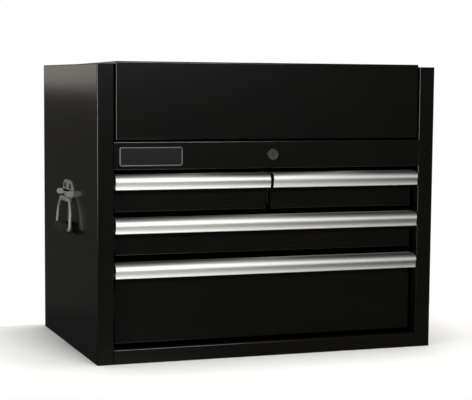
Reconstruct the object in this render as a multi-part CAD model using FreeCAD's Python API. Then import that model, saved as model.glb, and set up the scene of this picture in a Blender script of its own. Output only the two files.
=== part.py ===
import FreeCAD, Part
import os
from math import asin, cos, degrees, radians, sin, tan

os.makedirs("parts", exist_ok=True)

# Machinist tool chest: a lidded till over two half-width and two full-width drawers.
# Millimetres, +Z up, +X to the right, front at -Y, origin at the middle of the base face.

# Case shell, folded from steel sheet
case_width = 667.0
case_depth = 445.0
case_height = 542.0
sheet = 1.0
bend = 1.2
panel_gap = 0.1
stile_width = 31.0
stile_return = 20.0
back_flange = 20.0
back_drop = 4.0
back_hem = 10.0
top_return = 14.0
base_lip = 15.0

# Rails between the stiles, and the floor of the till
rail_height = 27.0
rail_depth = 20.0
rail_lip = 8.0
header_height = 51.0
header_lip = 6.0
till_lip = 8.0
till_notch = 20.0

# Lid: a sloping top with a deep front skirt
skirt_height = 140.0
lid_seam = 3.0
lid_side_gap = 3.5
lid_rise = 4.5
lid_side_depth = 30.0
skirt_side_depth = 16.0
skirt_lip = 12.0
stiffener_width = 60.0
stiffener_height = 14.0
stiffener_foot = 12.0
stiffener_inset = 30.0

# Piano hinge along the back of the lid
knuckle_radius = 3.0
hinge_pin_radius = 1.5
hinge_clearance = 0.08
hinge_leaf = 12.0
leaf_thickness = 1.2
leaf_relief = 0.4
knuckle_air = 0.3
knuckle_count = 5
knuckle_gap = 0.4
hinge_inset = 5.0

# Drawer stack, measured down from the header rail
top_reveal = 9.2
shallow_front = 68.0
upper_gap = 11.2
lower_gap = 13.3
base_reveal = 7.5
front_recess = 20.0
front_reveal = 6.5
front_split = 10.0
front_flange = 12.0
bead_low = 4.5
bead_high = 9.0
bead_step = 1.3
rear_space = 24.0

# Drawer boxes and their liners
drawer_wall = 0.9
box_rise = 6.0
shallow_box = 50.0
deep_gap = 17.3
box_hem = 6.0
mat_thickness = 2.0
mat_margin = 4.0

# Extruded drawer pulls
pull_height = 27.0
pull_brow = 24.2
pull_wall = 2.0
pull_round = 9.5
pull_belly_drop = 12.0
pull_belly_round = 14.0
pull_cove_out = 21.8
pull_cove_drop = 19.5
pull_cove_round = 10.0
pull_lip_out = 23.1
pull_lip_wall = 3.6
pull_reveal = 2.5
pull_split = 6.0
pull_flange = 24.0
pull_cap = 10.0

# Three-part telescopic slides and what carries them
slide_height = 45.0
slide_thickness = 12.7
slide_wall = 1.2
slide_race = 0.5
slide_web_gap = 0.8
slide_rim = 0.7
slide_setback = 36.0
post_inset = 2.3
post_width = 40.0
post_foot = 10.0
post_wall = 1.2
divider_half = 4.0
divider_wall = 1.2
divider_drop = 14.0
tunnel_half = 18.0
tunnel_foot = 10.0

# Cam lock in the middle of the header
lock_drop = 25.3
bezel_radius = 12.0
bezel_face_radius = 10.0
bezel_depth = 5.5
lock_body_half = 8.2
lock_body_length = 26.0
lock_clearance = 0.1
clip_half = 13.0
clip_thickness = 1.5
clip_bite = 0.6
plug_radius = 6.5
plug_clearance = 0.08
plug_recess = 0.8
plug_tail = 2.0
keyway_width = 1.8
keyway_height = 8.0
keyway_depth = 3.0
crank_radius = 8.5
crank_thickness = 3.0
crank_half = 4.0
crank_rim = 1.5
crank_pin_radius = 1.75
crank_pin_length = 10.0
lock_turn = 90.0

# Rocker under the till that lifts the lock bar behind the drawers
rocker_height = 14.0
rocker_thickness = 3.0
rocker_pin_radius = 3.0
rocker_pin_clearance = 0.05
rocker_hub_half = 6.5
rocker_hub_gap = 0.5
yoke_setback = 37.0
yoke_thickness = 3.0
yoke_clearance = 0.6
yoke_rim = 1.6
tongue_height = 8.0
tongue_shoulder = 2.5
bar_half = 10.0
bar_thickness = 2.0
bar_gap = 0.3
bar_margin = 5.0
bar_foot_share = 0.4
hook_height = 12.0
hook_half = 6.0
hook_offset = 30.0
hook_gap = 2.0
catch_drop = 8.0
catch_lip = 12.0
catch_reach = 8.5
catch_clearance = 3.0
catch_half = 8.0
guide_height = 16.0
guide_wall = 1.2
guide_foot = 8.0
guide_shares = (0.11, 0.4)

# Gas struts in the rear corners of the till
strut_radius = 130.0
strut_lid_angle = 8.0
strut_base_angle = 83.0
strut_side_gap = 12.0
strut_pin_radius = 2.5
strut_pin_clearance = 0.08
strut_pin_plate = 7.0
strut_clip_half = 4.0
strut_clip_thickness = 1.2
strut_clip_gap = 0.3
tab_half = 2.5
tab_width = 12.0
tab_end = 6.5
tube_radius = 7.5
tube_wall = 1.0
tube_start = 12.0
tube_length = 120.0
tube_end = 3.0
gland_length = 7.0
gland_clearance = 0.3
strut_rod_radius = 3.0
rod_start = 7.0
rod_length = 131.0
foot_wall = 2.0
foot_width = 20.0
foot_half = 11.0

# Swinging side handles
handle_height = 285.0
handle_axis_out = 7.0
wire_radius = 3.0
wire_clearance = 0.08
wire_split = 1.0
bracket_sheet = 1.6
barrel_half = 29.0
plate_half = 43.0
plate_top = 36.0
plate_corner = 23.0
plate_foot = 4.0
plate_neck = 6.0
plate_shoulder = 12.0
ear_reach = 14.0
ear_height = 11.0
ear_inset = 1.0
arm_top_half = 36.0
arm_bottom_half = 55.0
arm_length = 57.0
arm_bottom_bend = 5.0
grip_radius = 11.0
grip_half = 41.0
grip_rest_gap = 0.3
rivet_spacing = 40.0
rivet_rise = 24.5
rivet_head_radius = 5.5
rivet_head_height = 2.2

# Blank name plate on the header
badge_width = 118.0
badge_height = 34.0
badge_corner = 4.0
badge_base = 1.0
badge_rim = 2.0
badge_proud = 0.6
badge_inset = 10.0
badge_drop = 27.0

# Liner in the till
till_mat_side = 24.0
till_mat_front = 4.0
till_mat_back = 36.0

# One length past a face, for every cut
overrun = 5.0

# Places that follow from the sizes above
half_width = case_width / 2
front = -case_depth / 2
back = case_depth / 2
opening_half = half_width - stile_width
inner_half = half_width - sheet
back_inner = back - 2 * sheet
outer_bend = bend + sheet
lid_bottom = case_height + lid_rise - skirt_height
header_top = lid_bottom - lid_seam
header_bottom = header_top - header_height
till_top = header_top - header_lip
till_under = till_top - sheet - panel_gap
lid_half = opening_half - lid_side_gap
hinge_y = back_inner - knuckle_air - knuckle_radius
hinge_z = case_height - knuckle_radius
lid_back = hinge_y - knuckle_radius - knuckle_air
front_face = front + front_recess
front_half = opening_half - front_reveal
pull_half = opening_half - pull_reveal
post_face = opening_half - post_inset
box_half = post_face - slide_thickness
box_split = divider_half + slide_thickness
box_front = front_face + sheet
box_back = back - rear_space
slide_front = front + slide_setback
slide_length = box_back - slide_front
strut_plane = lid_half - sheet - strut_side_gap
badge_offset = opening_half - badge_inset - badge_width / 2
lock_z = header_top - lock_drop

V = FreeCAD.Vector
RIGHT = V(1, 0, 0)
BACK = V(0, 1, 0)
UP = V(0, 0, 1)
ORIGIN = V(0, 0, 0)


def block(x0, x1, y0, y1, z0, z1):
    """A box between two opposite corners."""
    return Part.makeBox(x1 - x0, y1 - y0, z1 - z0, V(x0, y0, z0))


def pin(start, axis, radius, length):
    """A round bar from a point along an axis."""
    return Part.makeCylinder(radius, length, start, axis)


def tube(start, axis, outer, inner, length):
    """A round bar with a bore right through it."""
    bore = pin(start - axis * overrun, axis, inner, length + 2 * overrun)
    return pin(start, axis, outer, length).cut(bore)


def at_x(x):
    """Places an outline's two coordinates on the plane of that X."""
    return lambda y, z: V(x, y, z)


def at_y(y):
    """Places an outline's two coordinates on the plane of that Y."""
    return lambda x, z: V(x, y, z)


def at_z(z):
    """Places an outline's two coordinates on the plane of that Z."""
    return lambda x, y: V(x, y, z)


def corner(before, here, after, radius):
    """The points of one corner: itself, or the three of the arc that rounds it."""
    if radius == 0:
        return [here]
    to_before = (before - here).normalize()
    to_after = (after - here).normalize()
    half = to_before.getAngle(to_after) / 2
    middle = (to_before + to_after).normalize()
    reach = radius / tan(half)
    crown = here + middle * (radius / sin(half) - radius)
    return [here + to_before * reach, crown, here + to_after * reach]


def joined(corners, place, closed):
    """Lines and arcs through the corners, in order."""
    edges = []
    count = len(corners)
    for i in range(count):
        spots = [place(p.x, p.y) for p in corners[i]]
        if len(spots) > 1:
            edges.append(Part.Arc(*spots).toShape())
        if closed or i < count - 1:
            following = corners[(i + 1) % count][0]
            edges.append(Part.LineSegment(spots[-1], place(following.x, following.y)).toShape())
    return Part.Wire(edges)


def outline(points, radii, place):
    """A flat face through the points, each corner rounded by its own radius."""
    flat = [V(a, b, 0) for a, b in points]
    count = len(flat)
    corners = []
    for i in range(count):
        corners.append(corner(flat[i - 1], flat[i], flat[(i + 1) % count], radii[i]))
    return Part.Face(joined(corners, place, True))


def folded(path, thickness, inner, place):
    """The section of a folded sheet: the path is one skin, its metal lies to the left.

    Each fold has its own inner radius, and a fold without one is drawn square.
    """
    skin = [V(a, b, 0) for a, b in path]
    last = len(skin) - 1
    other = []
    skin_radii = []
    other_radii = []
    for i, here in enumerate(skin):
        into = (here - skin[max(i, 1) - 1]) if i > 0 else (skin[1] - here)
        out = (skin[min(i + 1, last)] - here) if i < last else into
        into = V(into).normalize()
        out = V(out).normalize()
        left_in = V(-into.y, into.x, 0)
        left_out = V(-out.y, out.x, 0)
        middle = (left_in + left_out).normalize()
        other.append(here + middle * (thickness / middle.dot(left_in)))
        turn = into.x * out.y - into.y * out.x
        radius = inner[i - 1] if 0 < i < last else 0
        wide = radius + thickness if radius > 0 else 0
        skin_radii.append(wide if turn > 0 else radius)
        other_radii.append(radius if turn > 0 else wide)
    points = [(p.x, p.y) for p in skin + other[::-1]]
    return outline(points, skin_radii + other_radii[::-1], place)


def square(path):
    """No radius for any fold of a path whose folds are out of sight."""
    return [0] * (len(path) - 2)


def mirrored(shape):
    """The same piece on the other side of the chest."""
    return shape.mirror(ORIGIN, RIGHT)


def half_turn(shape):
    """A piece that is alike front and back, set on the other side of the chest."""
    return shape.rotated(ORIGIN, UP, 180)


def open_box(x0, x1, y0, y1, z0, z1, wall):
    """A folded tray, open at the top."""
    hollow = block(x0 + wall, x1 - wall, y0 + wall, y1 - wall, z0 + wall, z1 + overrun)
    return block(x0, x1, y0, y1, z0, z1).cut(hollow)


def save(node, shape):
    """Writes one piece to its own file."""
    if not shape.isValid() or shape.Volume <= 0:
        print("unsound piece:", node, shape.isValid(), shape.Volume)
    shape.exportStep("parts/" + node + ".step")


# Each drawer: name, left and right ends of its front, top of its pull, height of its box
upper_top = header_bottom - top_reveal
middle_top = upper_top - shallow_front - upper_gap
lower_top = middle_top - shallow_front - lower_gap
lower_front = lower_top - rail_height - base_reveal
drawers = [
    ("upper_left_drawer", -1, upper_top, shallow_front, shallow_box),
    ("upper_right_drawer", 1, upper_top, shallow_front, shallow_box),
    ("middle_drawer", 0, middle_top, shallow_front, shallow_box),
    ("lower_drawer", 0, lower_top, lower_front, lower_front - box_rise - deep_gap),
]


def span(side, split, edge):
    """Left and right ends of something on a half-width or a full-width drawer."""
    if side > 0:
        return split, edge
    if side < 0:
        return -edge, -split
    return -edge, edge


def box_floor(top, height):
    """Underside of a drawer's box, from the top and height of its front."""
    return top - height + box_rise


def slide_level(top, height, box):
    """Mid height of a drawer's slides."""
    return box_floor(top, height) + box / 2


def catch_level(top, height, box):
    """Top of the catch on the back of a drawer."""
    return box_floor(top, height) + box - catch_drop


# Side panels: one sheet each with front stile, back flange and top flange
def side_panel():
    """The right side of the case."""
    plan = [(opening_half, front + stile_return), (opening_half, front), (half_width, front),
            (half_width, back), (half_width - back_flange, back)]
    wall = folded(plan, sheet, [bend] * 3, at_z(0)).extrude(UP * case_height)
    rim = [(half_width, case_height - stile_width), (half_width, case_height),
           (opening_half, case_height), (opening_half, case_height - top_return)]
    top = folded(rim, sheet, [bend, 0], at_y(front)).extrude(BACK * case_depth)
    end = [(opening_half, 0), (half_width, 0), (half_width, case_height), (opening_half, case_height)]
    end_shape = outline(end, [0, 0, outer_bend, 0], at_y(front)).extrude(BACK * case_depth)
    floor = [(opening_half, front), (half_width, front), (half_width, back), (opening_half, back)]
    floor_shape = outline(floor, [outer_bend, outer_bend, outer_bend, 0], at_z(0)).extrude(UP * case_height)
    panel = wall.common(end_shape).fuse(top.common(floor_shape))
    back_zone = block(0, inner_half, back_inner - panel_gap, back - sheet,
                      -overrun, case_height - back_drop + panel_gap)
    lip_zone = block(0, opening_half + sheet + panel_gap, back_inner - panel_gap, back + overrun,
                     -overrun, case_height - back_drop + panel_gap)
    base_zone = block(0, inner_half, front + sheet, front + stile_return + overrun,
                      -overrun, base_lip + panel_gap)
    return panel.cut(back_zone).cut(lip_zone).cut(base_zone).removeSplitter()


right_side = side_panel()
save("right_side_panel", right_side)
save("left_side_panel", mirrored(right_side))


# Back panel, with its top edge hemmed outwards
def back_panel():
    edge = inner_half - panel_gap
    top = case_height - back_drop
    panel = block(-edge, edge, back_inner, back_inner + sheet, 0, top)
    hem_edge = half_width - back_flange - panel_gap
    hem = block(-hem_edge, hem_edge, back - sheet, back, top - back_hem, top)
    return panel.fuse(hem).removeSplitter()


save("back_panel", back_panel())

# Bottom panel: a shallow tray between the sides, flush with their lower edges
tray_edge = inner_half - panel_gap
tray_front = front + sheet + panel_gap
tray_back = back_inner - panel_gap
save("bottom_panel", open_box(-tray_edge, tray_edge, tray_front, tray_back, 0, base_lip, sheet))

# Rails between the stiles, each folded lengthwise
rail_half = opening_half - panel_gap
rail_path = [(front + rail_depth, rail_height - rail_lip), (front + rail_depth, rail_height),
             (front, rail_height), (front, 0)]
bottom_rail = folded(rail_path, sheet, [0, bend], at_x(-rail_half)).extrude(RIGHT * 2 * rail_half)
save("bottom_rail", bottom_rail)

header_path = [(front + rail_depth, till_top), (front + rail_depth, header_top), (front, header_top),
               (front, header_bottom), (front + rail_depth, header_bottom),
               (front + rail_depth, header_bottom + header_lip)]
header = folded(header_path, sheet, [0, bend, bend, 0], at_x(-rail_half)).extrude(RIGHT * 2 * rail_half)
hole_half = lock_body_half + lock_clearance
lock_hole = block(-hole_half, hole_half, front - overrun, front + overrun,
                  lock_z - hole_half, lock_z + hole_half)
save("header_rail", header.cut(lock_hole))


# Floor of the till: a tray turned over, notched at the back for the lock bar
def till_floor():
    y0 = front + rail_depth + panel_gap
    z0 = till_top - till_lip
    shell = block(-tray_edge, tray_edge, y0, tray_back, z0, till_top)
    hollow = block(-tray_edge + sheet, tray_edge - sheet, y0 + sheet, tray_back - sheet,
                   z0 - overrun, till_top - sheet)
    notch = block(-till_notch, till_notch, tray_back - 2 * sheet, tray_back + overrun,
                  z0 - overrun, till_top - sheet)
    return shell.cut(hollow).cut(notch)


save("till_floor", till_floor())
mat_edge = strut_plane - till_mat_side
till_mat = block(-mat_edge, mat_edge, front + rail_depth + till_mat_front, back_inner - till_mat_back,
                 till_top, till_top + mat_thickness)
save("till_mat", till_mat)


# Slide posts: hat channels on the side panels, two to a side
def slide_posts():
    z0 = base_lip + panel_gap
    z1 = till_top - till_lip - panel_gap
    foot = inner_half - post_wall
    posts = []
    ends = (slide_front + post_foot, slide_front + slide_length - post_foot - post_width)
    for y0 in ends:
        y1 = y0 + post_width
        path = [(foot, y1 + post_foot), (foot, y1), (post_face, y1), (post_face, y0), (foot, y0),
                (foot, y0 - post_foot)]
        post = folded(path, post_wall, square(path), at_z(z0)).extrude(UP * (z1 - z0))
        posts += [post, mirrored(post)]
    return Part.makeCompound(posts)


save("slide_posts", slide_posts())


# Drawer divider: one folded channel hung under the till, with a tunnel for the rocker
def drawer_divider():
    level = slide_level(upper_top, shallow_front, shallow_box)
    bottom = level - slide_height / 2 - divider_drop
    inside = divider_half - divider_wall
    half = [(tunnel_half + tunnel_foot, till_under), (tunnel_half, till_under),
            (tunnel_half, header_bottom), (inside, header_bottom), (inside, bottom)]
    path = half + [(-x, z) for x, z in half[::-1]]
    return folded(path, divider_wall, square(path), at_y(slide_front)).extrude(BACK * slide_length)


# The rocker turns on a rivet across the tunnel, half way between its two ends
yoke_y = front + yoke_setback + yoke_thickness / 2
bar_face = back_inner - bar_gap - bar_thickness
tongue_y = bar_face + bar_thickness / 2
rocker_y = (yoke_y + tongue_y) / 2
rocker_arm = (tongue_y - yoke_y) / 2
bar_travel = 2 * crank_radius * sin(radians(lock_turn / 2))
rocker_tilt = degrees(asin(bar_travel / 2 / rocker_arm))

pin_half = tunnel_half + divider_wall / 2
rocker_pin = pin(V(-pin_half, rocker_y, lock_z), RIGHT, rocker_pin_radius, 2 * pin_half)
save("drawer_divider", drawer_divider().fuse(rocker_pin))


# Telescopic slides: three nested channels, drawn with the post at X = 0 and the drawer at +X
def channel(start, depth, half, open_side):
    """One member's section: a channel with its web at the start or at the far side."""
    web, edge = (start, start + depth) if open_side > 0 else (start + depth, start)
    path = [(edge, half), (web, half), (web, -half), (edge, -half)]
    if open_side < 0:
        path = path[::-1]
    return folded(path, slide_wall, square(path), at_y(0)).extrude(BACK * slide_length)


outer_half = slide_height / 2
middle_half = outer_half - slide_wall - slide_race
inner_half_height = middle_half - slide_wall - slide_race
middle_start = slide_wall + slide_web_gap
inner_start = middle_start + slide_wall + slide_web_gap
outer_member = channel(0, slide_thickness - middle_start, outer_half, 1)
middle_member = channel(middle_start, slide_thickness - middle_start - slide_rim, middle_half, 1)
inner_member = channel(inner_start, slide_thickness - inner_start, inner_half_height, -1)


def slide_places(side, level):
    """Where a drawer's two slides stand: foot of the slide, its direction and its height."""
    places = []
    if side >= 0:
        places.append((post_face, -1, level))
    if side <= 0:
        places.append((-post_face, 1, level))
    if side > 0:
        places.append((divider_half, 1, level))
    if side < 0:
        places.append((-divider_half, -1, level))
    return places


def set_slides(member, places):
    """Copies of one member at each place."""
    copies = []
    for x, direction, level in places:
        copy = member if direction > 0 else mirrored(member)
        copies.append(copy.translated(V(x, slide_front, level)))
    return copies


outer_slides = []


# Drawer fronts: folded on all four sides, with a double bead along the bottom
def drawer_front(side, top, height):
    x0, x1 = span(side, front_split / 2, front_half)
    z1 = top - pull_wall
    z0 = top - height
    first = front_face - bead_step
    second = first - bead_step
    path = [(front_face + front_flange, z1), (front_face, z1), (front_face, z0 + bead_high),
            (first, z0 + bead_high - bead_step), (first, z0 + bead_low),
            (second, z0 + bead_low - bead_step), (second, z0), (front_face + front_flange, z0)]
    panel = folded(path, sheet, [0] * 5 + [bend / 2], at_x(x0)).extrude(RIGHT * (x1 - x0))
    for x in (x0, x1 - sheet):
        panel = panel.fuse(block(x, x + sheet, front_face, front_face + front_flange, z0, z1))
    return panel.removeSplitter()


# Drawer pulls: an open extrusion, hooked over the front and riveted through its back leg
def drawer_pull(side, top):
    x0, x1 = span(side, pull_split / 2, pull_half)
    brow = front_face - pull_brow
    lip = front_face - pull_lip_out
    points = [(front_face + pull_cap, top), (brow, top), (brow, top - pull_belly_drop),
              (front_face - pull_cove_out, top - pull_cove_drop),
              (lip, top - pull_height), (lip + pull_lip_wall, top - pull_height),
              (brow + pull_wall, top - pull_belly_drop), (brow + pull_wall, top - pull_wall),
              (front_face - pull_wall, top - pull_wall), (front_face - pull_wall, top - pull_flange),
              (front_face, top - pull_flange), (front_face, top - pull_wall),
              (front_face + pull_cap, top - pull_wall)]
    radii = [0, pull_round, pull_belly_round, pull_cove_round, 0, 0, 0, pull_round - pull_wall] + [0] * 5
    return outline(points, radii, at_x(x0)).extrude(RIGHT * (x1 - x0))


# Drawer boxes: folded trays hemmed along the sides and back, with a catch behind
def drawer_box(side, top, height, box):
    x0, x1 = span(side, box_split, box_half)
    z0 = box_floor(top, height)
    z1 = z0 + box
    shell = open_box(x0, x1, box_front, box_back, z0, z1, drawer_wall)
    hem = block(x0 + drawer_wall / 2, x1 - drawer_wall / 2,
                box_front + drawer_wall, box_back - drawer_wall / 2, z1 - drawer_wall, z1)
    mouth = block(x0 + box_hem, x1 - box_hem, box_front - overrun, box_back - box_hem,
                  z0, z1 + overrun)
    shell = shell.fuse(hem.cut(mouth))
    middle = side * hook_offset
    z = catch_level(top, height, box)
    reach = box_back + catch_reach
    tab = block(middle - catch_half, middle + catch_half, box_back - drawer_wall / 2, reach, z - sheet, z)
    lip = block(middle - catch_half, middle + catch_half, reach - sheet, reach, z - catch_lip, z)
    return shell.fuse(tab).fuse(lip).removeSplitter()


def drawer_mat(side, top, height):
    x0, x1 = span(side, box_split, box_half)
    z0 = box_floor(top, height) + drawer_wall
    return block(x0 + mat_margin, x1 - mat_margin, box_front + mat_margin, box_back - mat_margin,
                 z0, z0 + mat_thickness)


for name, side, top, height, box in drawers:
    places = slide_places(side, slide_level(top, height, box))
    save(name + "_front", drawer_front(side, top, height))
    save(name + "_pull", drawer_pull(side, top))
    save(name + "_box", drawer_box(side, top, height, box))
    save(name + "_mat", drawer_mat(side, top, height))
    save(name + "_inner_slides", Part.makeCompound(set_slides(inner_member, places)))
    save(name + "_middle_slides", Part.makeCompound(set_slides(middle_member, places)))
    outer_slides += set_slides(outer_member, places)
save("outer_slides", Part.makeCompound(outer_slides))


# Lid: top and skirt in one sheet, with side flanges welded in
def lid_top(y):
    """Height of the lid's outer face, which falls towards the hinge."""
    return case_height + lid_rise * (lid_back - y) / (lid_back - front)


def lid_shell():
    path = [(lid_back, hinge_z - hinge_leaf), (lid_back, case_height), (front, lid_top(front)),
            (front, lid_bottom), (front + skirt_lip, lid_bottom)]
    shell = folded(path, sheet, [bend] * 3, at_x(-lid_half)).extrude(RIGHT * 2 * lid_half)
    inner = front + skirt_side_depth
    cheek_points = [(lid_back, case_height), (front, lid_top(front)), (front, lid_bottom),
                    (inner, lid_bottom), (inner, lid_top(inner) - lid_side_depth),
                    (lid_back, case_height - lid_side_depth)]
    radii = [outer_bend] * 3 + [0] * 3
    for x in (-lid_half, lid_half - sheet):
        shell = shell.fuse(outline(cheek_points, radii, at_x(x)).extrude(RIGHT * sheet))
    plan = [(-lid_half, front), (lid_half, front), (lid_half, lid_back), (-lid_half, lid_back)]
    envelope = outline(plan, [outer_bend, outer_bend, 0, 0], at_z(lid_bottom))
    return shell.common(envelope.extrude(UP * skirt_height)).removeSplitter()


save("lid_shell", lid_shell())


def lid_stiffener():
    """A hat channel across the lid, its feet against the sloping underside."""
    y0 = -stiffener_width / 2
    y1 = stiffener_width / 2

    def under(y):
        return lid_top(y) - sheet - panel_gap

    path = [(y1 + stiffener_foot, under(y1 + stiffener_foot)), (y1, under(y1)),
            (y1, under(y1) - stiffener_height), (y0, under(y0) - stiffener_height),
            (y0, under(y0)), (y0 - stiffener_foot, under(y0 - stiffener_foot))]
    half = lid_half - stiffener_inset
    return folded(path, sheet, square(path), at_x(-half)).extrude(RIGHT * 2 * half)


save("lid_stiffener", lid_stiffener())


# Piano hinge: alternating knuckles on two leaves, and one long pin
def hinge_leaf_piece(plate_y, first):
    """A leaf with every second knuckle, counted from the first."""
    length = 2 * (lid_half - hinge_inset)
    pitch = length / knuckle_count
    start = -length / 2
    plate_top = hinge_z - knuckle_radius - leaf_relief
    leaf = block(start, start + length, plate_y, plate_y + leaf_thickness, hinge_z - hinge_leaf, plate_top)
    for i in range(first, knuckle_count, 2):
        x0 = start + i * pitch + knuckle_gap / 2
        x1 = start + (i + 1) * pitch - knuckle_gap / 2
        leaf = leaf.fuse(block(x0, x1, plate_y, plate_y + leaf_thickness, plate_top - overrun, hinge_z))
        leaf = leaf.fuse(pin(V(x0, hinge_y, hinge_z), RIGHT, knuckle_radius, x1 - x0))
    bore = pin(V(start - overrun, hinge_y, hinge_z), RIGHT, hinge_pin_radius + hinge_clearance,
               length + 2 * overrun)
    return leaf.cut(bore).removeSplitter()


save("hinge_lower_leaf", hinge_leaf_piece(back_inner - leaf_thickness, 0))
save("hinge_upper_leaf", hinge_leaf_piece(lid_back, 1))
hinge_pin_half = lid_half - hinge_inset
save("hinge_pin", pin(V(-hinge_pin_half, hinge_y, hinge_z), RIGHT, hinge_pin_radius, 2 * hinge_pin_half))


# Lock: housing through the header, the clip that holds it, and the plug with its crank
def lock_housing():
    """A tapered bezel on a square body, with a slot in each side for the clip."""
    face_y = front - bezel_depth
    bezel = Part.makeCone(bezel_face_radius, bezel_radius, bezel_depth, V(0, face_y, lock_z), BACK)
    half = lock_body_half
    body = block(-half, half, front, front + lock_body_length, lock_z - half, lock_z + half)
    for x in (-half - overrun, half - clip_bite):
        body = body.cut(block(x, x + overrun + clip_bite, front + sheet, front + sheet + clip_thickness,
                              lock_z - half, lock_z + half))
    bore = pin(V(0, face_y - overrun, lock_z), BACK, plug_radius + plug_clearance,
               bezel_depth + lock_body_length + 2 * overrun)
    return bezel.fuse(body).cut(bore).removeSplitter()


def lock_clip():
    """A fork of spring steel, pushed down over the body behind the header."""
    y = front + sheet
    inside = lock_body_half - clip_bite + lock_clearance
    plate = block(-clip_half, clip_half, y, y + clip_thickness, lock_z - clip_half, lock_z + clip_half)
    return plate.cut(block(-inside, inside, y - overrun, y + clip_thickness + overrun,
                           lock_z - clip_half - overrun, lock_z + lock_body_half + lock_clearance))


def lock_plug():
    """The plug in its open position, its crank pin up and to the right."""
    face_y = front - bezel_depth + plug_recess
    tail_y = front + lock_body_length + plug_tail
    plug = pin(V(0, face_y, lock_z), BACK, plug_radius, tail_y - face_y)
    plug = plug.cut(block(-keyway_width / 2, keyway_width / 2, face_y - overrun, face_y + keyway_depth,
                          lock_z - keyway_height / 2, lock_z + keyway_height / 2))
    centre = V(0, tail_y, lock_z)
    end = crank_radius + crank_pin_radius + crank_rim
    arm = block(-crank_half, end, -crank_thickness, 0, -crank_half, crank_half)
    arm = arm.fuse(pin(V(crank_radius, -crank_thickness, 0), BACK, crank_pin_radius,
                       crank_thickness + crank_pin_length))
    arm.translate(centre + BACK * crank_thickness)
    arm.rotate(centre, BACK, -lock_turn / 2)
    return plug.fuse(arm).removeSplitter()


save("lock_housing", lock_housing())
save("lock_clip", lock_clip())
save("lock_plug", lock_plug())


# Rocker: a flat bar on edge, a slotted yoke in front and a tongue behind
def lock_rocker():
    """Drawn level, then tilted with its yoke up, as it stands unlocked."""
    half = rocker_thickness / 2
    yoke_front = front + yoke_setback
    shoulder = bar_face - tongue_shoulder
    bar = block(-half, half, yoke_front, shoulder, lock_z - rocker_height / 2, lock_z + rocker_height / 2)
    tongue = block(-half, half, shoulder - overrun, bar_face + bar_thickness,
                   lock_z - tongue_height / 2, lock_z + tongue_height / 2)
    slot_left = crank_radius * cos(radians(lock_turn / 2)) - crank_pin_radius - yoke_clearance
    slot_right = crank_radius + crank_pin_radius + yoke_clearance
    slot_half = crank_pin_radius + yoke_clearance
    yoke = block(-half, slot_right + yoke_rim, yoke_front, yoke_front + yoke_thickness,
                 lock_z - rocker_height / 2, lock_z + rocker_height / 2)
    slot = block(slot_left, slot_right, yoke_front - overrun, yoke_front + yoke_thickness + overrun,
                 lock_z - slot_half, lock_z + slot_half)
    hub_half = tunnel_half - rocker_hub_gap
    hub = block(-hub_half, hub_half, rocker_y - rocker_hub_half, rocker_y + rocker_hub_half,
                lock_z - rocker_hub_half, lock_z + rocker_hub_half)
    eye = pin(V(-hub_half - overrun, rocker_y, lock_z), RIGHT, rocker_pin_radius + rocker_pin_clearance,
              2 * hub_half + 2 * overrun)
    rocker = bar.fuse(tongue).fuse(yoke.cut(slot)).fuse(hub).cut(eye).removeSplitter()
    rocker.rotate(V(0, rocker_y, lock_z), RIGHT, -rocker_tilt)
    return rocker


save("lock_rocker", lock_rocker())


# Lock bar: slides up behind the drawers, with a hook for each catch
def hook_base(name, side, top, height, box):
    """Underside of the hook that stands under a drawer's catch."""
    return catch_level(top, height, box) - catch_lip - catch_clearance - hook_height


bar_foot = bar_foot_share * hook_base(*drawers[-1])


def lock_bar():
    slot_z = lock_z - bar_travel / 2
    slot_half = tongue_height / 2 + yoke_clearance
    slot_side = rocker_thickness / 2 + yoke_clearance
    bar_top = slot_z + slot_half + bar_margin
    y1 = bar_face + bar_thickness
    bar = block(-bar_half, bar_half, bar_face, y1, bar_foot, bar_top)
    bar = bar.cut(block(-slot_side, slot_side, bar_face - overrun, y1 + overrun,
                        slot_z - slot_half, slot_z + slot_half))
    catch_face = box_back + catch_reach - sheet
    tip_y = catch_face - hook_gap - bar_thickness
    for name, side, top, height, box in drawers:
        z0 = hook_base(name, side, top, height, box)
        middle = side * hook_offset
        if side != 0:
            x0, x1 = sorted((0, middle + side * hook_half))
            bar = bar.fuse(block(x0, x1, bar_face, y1, z0, z0 + hook_height))
        bar = bar.fuse(block(middle - hook_half, middle + hook_half, tip_y, bar_face + bar_thickness / 2,
                             z0, z0 + bar_thickness))
        bar = bar.fuse(block(middle - hook_half, middle + hook_half, tip_y, tip_y + bar_thickness,
                             z0, z0 + hook_height))
    return bar.removeSplitter()


def lock_bar_guides():
    """Two folded staples on the back panel that the bar slides in."""
    inside = bar_half + bar_gap
    skin = bar_face - bar_gap - guide_wall
    outside = inside + guide_wall
    seat = back_inner - guide_wall
    path = [(outside + guide_foot, seat), (outside, seat), (outside, skin),
            (-outside, skin), (-outside, seat), (-outside - guide_foot, seat)]
    guides = []
    for share in guide_shares:
        z = bar_foot + share * (lock_z - bar_foot)
        guides.append(folded(path[::-1], guide_wall, square(path), at_z(z)).extrude(UP * guide_height))
    return Part.makeCompound(guides)


save("lock_bar", lock_bar())
save("lock_bar_guides", lock_bar_guides())


# Gas struts: both pins lie at one radius from the hinge, so tube and rod stay in line
def round_hinge(angle, out):
    """The point at the strut radius, that angle below the level of the hinge."""
    return V(strut_plane * out.x, hinge_y - strut_radius * cos(radians(angle)),
             hinge_z - strut_radius * sin(radians(angle)))


def end_tab(centre, way, length):
    """A flat tab along the strut, with the hole for its pin."""
    across = way.cross(RIGHT)

    def flat(a, b):
        return centre - RIGHT * tab_half + way * a + across * b

    side = tab_width / 2
    points = [(-tab_end, -side), (length, -side), (length, side), (-tab_end, side)]
    tab = outline(points, [0] * 4, flat).extrude(RIGHT * 2 * tab_half)
    reach = tab_half + overrun
    return tab.cut(pin(centre - RIGHT * reach, RIGHT, strut_pin_radius + strut_pin_clearance, 2 * reach))


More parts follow.
